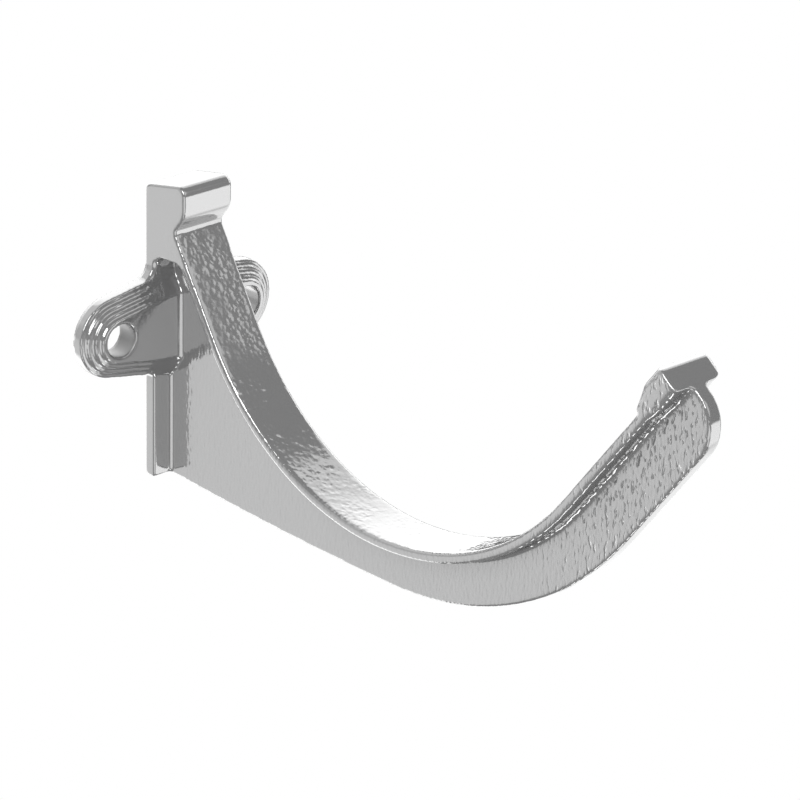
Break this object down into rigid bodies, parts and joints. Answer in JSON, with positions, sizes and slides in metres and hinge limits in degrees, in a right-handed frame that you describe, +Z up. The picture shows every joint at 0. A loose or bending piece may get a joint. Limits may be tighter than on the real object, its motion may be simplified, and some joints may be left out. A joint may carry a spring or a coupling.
{
  "type": "gutter bracket",
  "caption": "Cast gutter bracket with a curved T-section arm, a nib over the gutter's back edge, a nosed tip and stepped screw lugs.",
  "frame": {"origin": "on the wall face, in the bracket's plane of symmetry, 0.5 mm above the line through the two screw holes", "axes": "+Y into the wall, the arm reaching towards -Y; +X along the wall; +Z up"},
  "size_m": [0.049, 0.1471, 0.0675],
  "materials": {
    "casting": "glossy grey coating over cast metal"
  },
  "bodies": {
    "root": {"bracket": "casting"}
  },
  "joints": []
}
